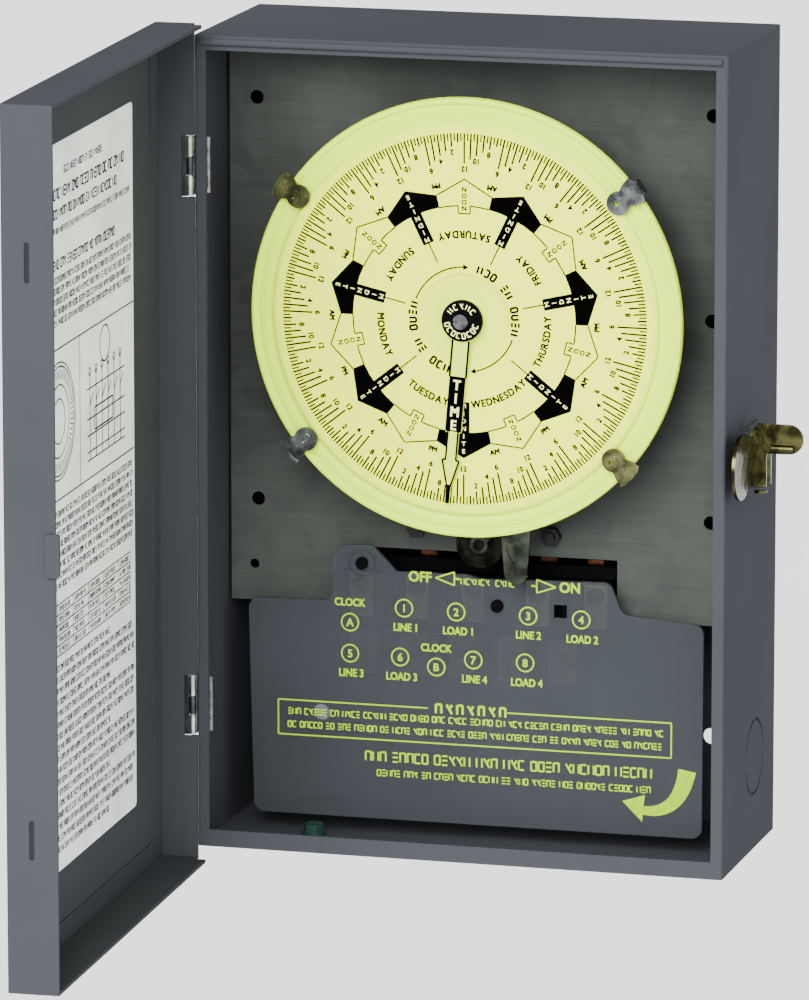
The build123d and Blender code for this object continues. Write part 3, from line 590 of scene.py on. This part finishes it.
def curved_arrow(page):
    """Thick curved arrow that sweeps down and to the left, tapering from its tail."""
    p0, p1, p2 = (80.5, -118.0), (77.5, -136.5), (62.0, -133.8)
    left, right = [], []
    for i in range(17):
        t = i / 16
        x = (1 - t) ** 2 * p0[0] + 2 * t * (1 - t) * p1[0] + t * t * p2[0]
        y = (1 - t) ** 2 * p0[1] + 2 * t * (1 - t) * p1[1] + t * t * p2[1]
        dx = 2 * (1 - t) * (p1[0] - p0[0]) + 2 * t * (p2[0] - p1[0])
        dy = 2 * (1 - t) * (p1[1] - p0[1]) + 2 * t * (p2[1] - p1[1])
        n = math.hypot(dx, dy)
        w = 3.4 - 1.9 * t
        left.append((x - dy / n * w, y + dx / n * w))
        right.append((x + dy / n * w, y - dx / n * w))
    for i in range(16):
        page.poly([left[i], right[i], right[i + 1], left[i + 1]])
    page.poly([(56.0, -131.0), (64.5, -128.2), (63.5, -138.4)])


curved_arrow(lime)
lime.build("insulator_print", on_front(COVER_Y - 0.05), INK_LIME, "cover")

# ---------------------------------------------------------------- door label print
PIVOT = (-101.2, -86.0)
SWING = math.radians(-88.0)
LABEL_Y = -97.3


def on_label(lift):
    """Label coordinates: u to the reader's right, v up, both in mm from the label's centre."""
    def place(u, v, d):
        dx, dy = 1.5 - u - PIVOT[0], LABEL_Y + lift + d - PIVOT[1]
        c, s = math.cos(SWING), math.sin(SWING)
        return ((PIVOT[0] + dx * c - dy * s) * MM, (PIVOT[1] + dx * s + dy * c) * MM, (v + 2.5) * MM)
    return place


page = Print()
rng = random.Random(11)
for v, height, left, right in ((120, 2.2, -26, 26), (112.5, 3.4, -52, 52), (105.5, 3.0, -44, 44),
                               (99.5, 1.8, -60, 60), (87.5, 3.0, -40, 40)):
    greek(page, left, right, v, height, rng, 0.22)
for v in (82.0, 78.2, 74.4, 70.6, 66.8):
    greek(page, -62, 62, v, 1.9, rng, 0.24)
page.line((-64, 57.5), (64, 57.5), 0.5)
# made-up dial picture on the left and made-up wiring diagram on the right
PICTURE_U, PICTURE_V = -34.5, 31.5
for r in (8, 13, 19.5, 21):
    page.arc(r, 0, 360, 0.5, (PICTURE_U, PICTURE_V), 48)
for k in range(56):
    (u0, v0), (u1, v1) = polar(15, k * 360 / 56), polar(18.5, k * 360 / 56)
    page.line((PICTURE_U + u0, PICTURE_V + v0), (PICTURE_U + u1, PICTURE_V + v1), 0.4)
page.line((-7, 57.5), (-7, 3.5), 0.5)
for k in range(6):
    u = 6 + 8.0 * k
    page.line((u, 42), (u, 10), 0.6)
    page.line((u, 30), (u + 4.5, 34), 0.6)
    page.arc(1.4, 0, 360, 0.5, (u, 42), 12)
for v in (36, 25, 19, 13, 10):
    page.line((2, v), (52, v), 0.5)
page.arc(6.5, 0, 360, 0.6, (26, 49), 24)
page.path([(12, 20), (36, 20), (36, 28), (12, 28)], 0.6, True)
page.line((-64, 3.5), (64, 3.5), 0.5)
for k in range(8):
    greek(page, -62, 62, -1.5 - 3.7 * k, 1.8, rng, 0.24)
# ruled table of marks
TABLE_TOP, ROW = -34.0, 3.7
for k in range(6):
    page.line((-58, TABLE_TOP - ROW * k), (58, TABLE_TOP - ROW * k), 0.4)
for u in (-58, -38, -18, 2, 22, 42, 58):
    page.line((u, TABLE_TOP), (u, -52.5), 0.4)
for k in range(5):
    for j in range(5):
        greek(page, -36 + 20 * j, -22 + 20 * j, -35.9 - 3.7 * k, 1.5, rng, 0.24)
for k in range(17):
    greek(page, -62, 62 if k % 4 else 30, -57.0 - 4.1 * k, 1.9, rng, 0.24)
page.build("door_label_print", on_label(0.06), INK_GREY, "door")

# ---------------------------------------------------------------- floor, light, world
FLOOR_Z, FLOOR_HALF = -1.4, 30
floor_mesh = bpy.data.meshes.new("floor")
floor_mesh.from_pydata([(x, y, FLOOR_Z) for x, y in ((-FLOOR_HALF, -FLOOR_HALF), (FLOOR_HALF, -FLOOR_HALF),
                                                     (FLOOR_HALF, FLOOR_HALF), (-FLOOR_HALF, FLOOR_HALF))],
                       [], [(0, 1, 2, 3)])
floor = bpy.data.objects.new("floor", floor_mesh)
bpy.context.scene.collection.objects.link(floor)
floor_look = Nodes("floor_pale")
floor_look.set(Base_Color=floor_look.ramp(floor_look.noise(2.0), [(0.3, (0.86, 0.86, 0.86, 1)),
                                                                  (0.7, (0.90, 0.90, 0.90, 1))]),
               Roughness=0.9)
floor_mesh.materials.append(floor_look.mat)

# white all round, fading to a dimmer patch overhead
world = bpy.data.worlds.new("studio")
bpy.context.scene.world = world
world.use_nodes = True
sky = world.node_tree
overhead = sky.nodes.new("ShaderNodeSeparateXYZ")
fade = sky.nodes.new("ShaderNodeValToRGB")
for element, position, brightness in zip(fade.color_ramp.elements, (0.3, 0.75), (1.0, 0.3)):
    element.position = position
    element.color = (brightness, brightness, brightness, 1.0)
sky.links.new(sky.nodes.new("ShaderNodeTexCoord").outputs["Generated"], overhead.inputs[0])
sky.links.new(overhead.outputs["Z"], fade.inputs["Fac"])
sky.links.new(fade.outputs["Color"], sky.nodes["Background"].inputs["Color"])
sky.nodes["Background"].inputs["Strength"].default_value = 2.75


def softbox(name, at, target, size, power):
    """A small panel of light aimed at a point."""
    light_data = bpy.data.lights.new(name, "AREA")
    light_data.shape = "RECTANGLE"
    light_data.size, light_data.size_y = size
    light_data.energy = power
    lamp = bpy.data.objects.new(name, light_data)
    lamp.location = at
    lamp.rotation_euler = (Vector(target) - Vector(at)).to_track_quat("-Z", "Y").to_euler()
    bpy.context.scene.collection.objects.link(lamp)


def wide_light(name, towards, power, spread):
    """A large far source, soft because of its wide angle."""
    light_data = bpy.data.lights.new(name, "SUN")
    light_data.energy = power
    light_data.angle = math.radians(spread)
    lamp = bpy.data.objects.new(name, light_data)
    lamp.rotation_euler = Vector(towards).to_track_quat("-Z", "Y").to_euler()
    bpy.context.scene.collection.objects.link(lamp)


wide_light("key", (0.02, 0.88, -0.48), 6.2, 40)
softbox("glint", (-0.5, -1.6, 0.9), (0, 0, 0), (0.5, 0.9), 5)
